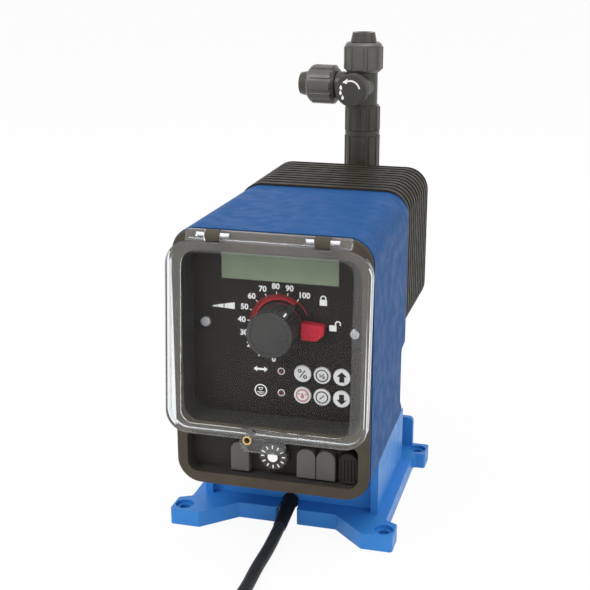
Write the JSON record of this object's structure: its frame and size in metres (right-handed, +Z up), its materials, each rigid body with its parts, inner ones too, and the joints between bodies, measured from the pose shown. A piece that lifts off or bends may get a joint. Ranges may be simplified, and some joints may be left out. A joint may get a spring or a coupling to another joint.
{
  "type": "diaphragm metering pump",
  "caption": "Solenoid-driven diaphragm dosing pump with a front stroke knob under a clear hinged cover, ball-check valves, a bleed valve and a floor stand.",
  "frame": {"origin": "on the floor, in the middle of the four screw holes of the base stand", "axes": "+X to the right seen from the control panel, +Y from the control panel to the pump head, +Z up"},
  "size_m": [0.2003, 0.4359, 0.278],
  "materials": {
    "adapter_grey": "glass-filled",
    "armature_steel": "ground steel",
    "ball_ceramic": "polished ceramic",
    "base_blue": "moulded, satin",
    "bezel_grey": "moulded, fine texture",
    "board_green": "coated laminate",
    "bobbin_nylon": "natural nylon",
    "bracket_steel": "zinc plate",
    "brass": "turned brass",
    "bush_bronze": "sintered bronze",
    "can_steel": "zinc plate",
    "cap_dark": "soft plastic",
    "cap_grey": "soft plastic",
    "clear_plastic": "clear polycarbonate",
    "cord_black": "smooth sheath",
    "cover_black": "moulded, fine texture",
    "diaphragm_white": "PTFE faced",
    "display_glass": "grey-green display",
    "head_plastic": "glass-filled polypropylene",
    "housing_blue": "moulded, satin",
    "key_dark": "rubber key",
    "key_red": "rubber key, tinted",
    "knob_black": "satin black",
    "lamp_clear": "tinted lens",
    "lever_red": "satin red",
    "overlay_print": "printed film",
    "panel_brown": "matte",
    "pin_steel": "drawn steel",
    "plug_black": "moulded plug, nickel pins",
    "screw_dark": "blackened steel",
    "screw_steel": "plated steel",
    "seal_rubber": "fluoroelastomer",
    "seat_ptfe": "PTFE",
    "shaft_plastic": "glass-filled nylon",
    "socket_black": "moulded",
    "spring_steel": "spring wire",
    "valve_black": "polypropylene, satin",
    "winding_copper": "enamelled copper wire"
  },
  "bodies": {
    "pump": {"adapter_plate": "adapter_grey", "base_screws": "screw_steel", "base_stand": "base_blue", "bleed_nut": "valve_black", "bleed_valve_body": "valve_black", "circuit_board": "board_green", "coil_bobbin": "bobbin_nylon", "coil_winding": "winding_copper", "control_panel": "panel_brown", "cord_coil": "cord_black", "cord_tail": "cord_black", "diaphragm": "diaphragm_white", "discharge_cartridge": "valve_black", "discharge_nut": "valve_black", "front_bezel": "bezel_grey", "guide_bush": "bush_bronze", "head_screws": "screw_steel", "hinge_pins": "pin_steel", "housing": "housing_blue", "lcd_display": "display_glass", "o_rings": "seal_rubber", "panel_overlay": "overlay_print", "panel_screws": "screw_dark", "pole_plate": "can_steel", "power_cord": "cord_black", "power_plug": "plug_black", "pump_head": "head_plastic", "rear_cover": "cover_black", "rear_cover_screws": "screw_steel", "return_spring": "spring_steel", "ribbed_cap": "cap_dark", "secondary_seal": "seal_rubber", "socket_caps": "cap_grey", "sockets": "socket_black", "solenoid_bracket": "bracket_steel", "solenoid_can": "can_steel", "status_lamps": "lamp_clear", "strain_relief": "cord_black", "suction_cartridge": "valve_black", "suction_nut": "valve_black", "tube_collets": "valve_black", "valve_seats": "seat_ptfe"},
    "cover": {"clear_cover": "clear_plastic", "cover_bush": "brass"},
    "stroke_knob": {"stroke_knob": "knob_black", "stroke_shaft": "shaft_plastic"},
    "stroke_stop": {"stroke_stop": "shaft_plastic"},
    "lock_lever": {"lock_lever": "lever_red"},
    "trim_dial": {"trim_dial": "knob_black"},
    "plunger": {"armature": "armature_steel", "pump_shaft": "armature_steel"},
    "bleed_knob": {"bleed_knob": "knob_black"},
    "suction_ball": {"suction_ball": "ball_ceramic"},
    "discharge_ball": {"discharge_ball": "ball_ceramic"},
    "key_percent": {"key_percent": "key_dark"},
    "key_mode": {"key_mode": "key_dark"},
    "key_up": {"key_up": "key_dark"},
    "key_prime": {"key_prime": "key_red"},
    "key_stop": {"key_stop": "key_dark"},
    "key_down": {"key_down": "key_dark"}
  },
  "joints": [
    {"name": "cover_hinge", "type": "hinge", "parent": "pump", "child": "cover", "pos_m": [0, -0.0844, 0.188], "axis": [-1, 0, 0], "range_deg": [-4.2, 100]},
    {"name": "stroke_knob_turn", "type": "hinge", "parent": "pump", "child": "stroke_knob", "pos_m": [0, -0.081, 0.133], "axis": [0, -1, 0], "range_deg": [0, 207]},
    {"name": "stroke_stop_slide", "type": "slide", "parent": "pump", "child": "stroke_stop", "axis": [0, -1, 0], "range_m": [0, 0.003]},
    {"name": "lock_lever_turn", "type": "hinge", "parent": "pump", "child": "lock_lever", "pos_m": [0, -0.064, 0.133], "axis": [0, -1, 0], "range_deg": [0, 35]},
    {"name": "trim_dial_turn", "type": "hinge", "parent": "pump", "child": "trim_dial", "pos_m": [0, -0.073, 0.0575], "axis": [0, -1, 0], "range_deg": [-135, 135]},
    {"name": "bleed_knob_turn", "type": "hinge", "parent": "pump", "child": "bleed_knob", "pos_m": [0, 0.154, 0.2405], "axis": [-0.1045, -0.9945, 0], "range_deg": [0, 90]},
    {"name": "plunger_stroke", "type": "slide", "parent": "pump", "child": "plunger", "axis": [0, -1, 0], "range_m": [-0.003, 0], "stiffness_N_per_m": 8000, "deforming": ["return_spring", "diaphragm"]},
    {"name": "suction_ball_lift", "type": "slide", "parent": "pump", "child": "suction_ball", "axis": [0, 0, 1], "range_m": [0, 0.0016]},
    {"name": "discharge_ball_lift", "type": "slide", "parent": "pump", "child": "discharge_ball", "axis": [0, 0, 1], "range_m": [0, 0.0016]},
    {"name": "key_percent_press", "type": "slide", "parent": "pump", "child": "key_percent", "axis": [0, 1, 0], "range_m": [0, 0.0008], "stiffness_N_per_m": 900},
    {"name": "key_mode_press", "type": "slide", "parent": "pump", "child": "key_mode", "axis": [0, 1, 0], "range_m": [0, 0.0008], "stiffness_N_per_m": 900},
    {"name": "key_up_press", "type": "slide", "parent": "pump", "child": "key_up", "axis": [0, 1, 0], "range_m": [0, 0.0008], "stiffness_N_per_m": 900},
    {"name": "key_prime_press", "type": "slide", "parent": "pump", "child": "key_prime", "axis": [0, 1, 0], "range_m": [0, 0.0008], "stiffness_N_per_m": 900},
    {"name": "key_stop_press", "type": "slide", "parent": "pump", "child": "key_stop", "axis": [0, 1, 0], "range_m": [0, 0.0008], "stiffness_N_per_m": 900},
    {"name": "key_down_press", "type": "slide", "parent": "pump", "child": "key_down", "axis": [0, 1, 0], "range_m": [0, 0.0008], "stiffness_N_per_m": 900}
  ],
  "couplings": [
    {"joint": "stroke_stop_slide", "follows": "stroke_knob_turn", "m_per_rad": 0.00083037}
  ]
}
